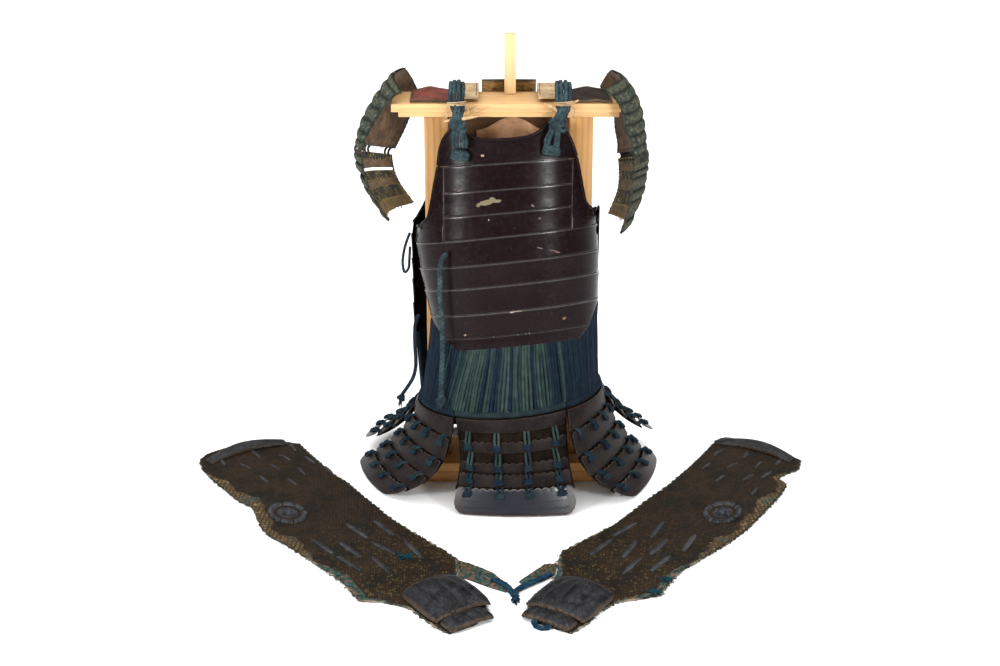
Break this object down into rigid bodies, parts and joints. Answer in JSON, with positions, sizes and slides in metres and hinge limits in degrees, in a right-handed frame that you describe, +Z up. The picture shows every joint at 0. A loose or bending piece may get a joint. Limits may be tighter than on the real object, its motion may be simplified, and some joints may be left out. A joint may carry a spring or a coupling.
{
  "type": "samurai armour on a wooden stand",
  "caption": "Cuirass of bent plates with a laced skirt of tassets, curved shoulder guards and a pair of flat mail sleeves, set on a plain wooden stand.",
  "frame": {"origin": "on the underside of the stand's base, midway along it and 44 mm behind its front edge", "axes": "+Z up, -Y out of the front of the armour, +X to the viewer's right"},
  "size_m": [1.1296, 0.805, 0.811],
  "materials": {
    "pine": "planed pine",
    "lacquered_plate": "brown-black lacquer on iron",
    "laced_lames": "brown-black lacquer on iron, laced with blue-green cord",
    "waist_cords": "braided indigo and faded blue-green cords",
    "leather": "worn leather",
    "collar_cloth": "gold-brown brocade with a dark edge",
    "hinge_iron": "dark iron",
    "red_cloth": "faded red cloth",
    "dark_cloth": "dark brown cloth",
    "brocade": "grey-green ribbed brocade over leather and mail",
    "teal_cord": "braided blue-green cord",
    "indigo_cord": "dark indigo cord",
    "mail": "rust-brown mail on cloth",
    "sleeve_plate": "dark lacquer on iron",
    "rosette_iron": "dark iron",
    "loop_cloth": "blue-green cloth and cord"
  },
  "bodies": {
    "root": {"stand_base": "pine", "stand_upright_left": "pine", "stand_upright_right": "pine", "stand_beam": "pine", "stand_post": "pine", "front_lame_1": "lacquered_plate", "front_lame_2": "lacquered_plate", "front_lame_3": "lacquered_plate", "front_lame_4": "lacquered_plate", "front_lame_5": "lacquered_plate", "front_lame_6": "lacquered_plate", "front_lame_7": "lacquered_plate", "front_lame_8": "lacquered_plate", "armhole_strip_left": "lacquered_plate", "armhole_strip_right": "lacquered_plate", "chest_plate": "lacquered_plate", "back_lame_1": "lacquered_plate", "back_lame_2": "lacquered_plate", "back_lame_3": "lacquered_plate", "back_lame_4": "lacquered_plate", "back_lame_5": "lacquered_plate", "back_plate": "lacquered_plate", "back_leather_panel": "leather", "back_collar": "collar_cloth", "side_hinge": "hinge_iron", "front_lacing": "waist_cords", "back_lacing": "waist_cords", "tasset_front": "laced_lames", "tasset_front_left": "laced_lames", "tasset_front_right": "laced_lames", "tasset_side_left": "laced_lames", "tasset_side_right": "laced_lames", "tasset_back_left": "laced_lames", "tasset_back_right": "laced_lames", "shoulder_strap_left": "leather", "shoulder_strap_right": "leather", "shoulder_flap_left": "red_cloth", "shoulder_flap_right": "dark_cloth", "shoulder_guard_left_upper": "brocade", "shoulder_guard_left_lower": "brocade", "shoulder_guard_right_upper": "brocade", "shoulder_guard_right_lower": "brocade", "shoulder_cord_left": "teal_cord", "shoulder_cord_right": "teal_cord", "side_cord_loop": "indigo_cord", "side_cord_hanging": "indigo_cord", "side_cord_front": "indigo_cord", "sleeve_left_mail": "mail", "sleeve_left_hand_guard": "sleeve_plate", "sleeve_left_finger_plate": "sleeve_plate", "sleeve_left_elbow_rosette": "rosette_iron", "sleeve_left_shoulder_plate": "sleeve_plate", "sleeve_left_finger_loop": "loop_cloth", "sleeve_right_mail": "mail", "sleeve_right_hand_guard": "sleeve_plate", "sleeve_right_finger_plate": "sleeve_plate", "sleeve_right_elbow_rosette": "rosette_iron", "sleeve_right_shoulder_plate": "sleeve_plate", "sleeve_right_finger_loop": "loop_cloth"}
  },
  "joints": []
}
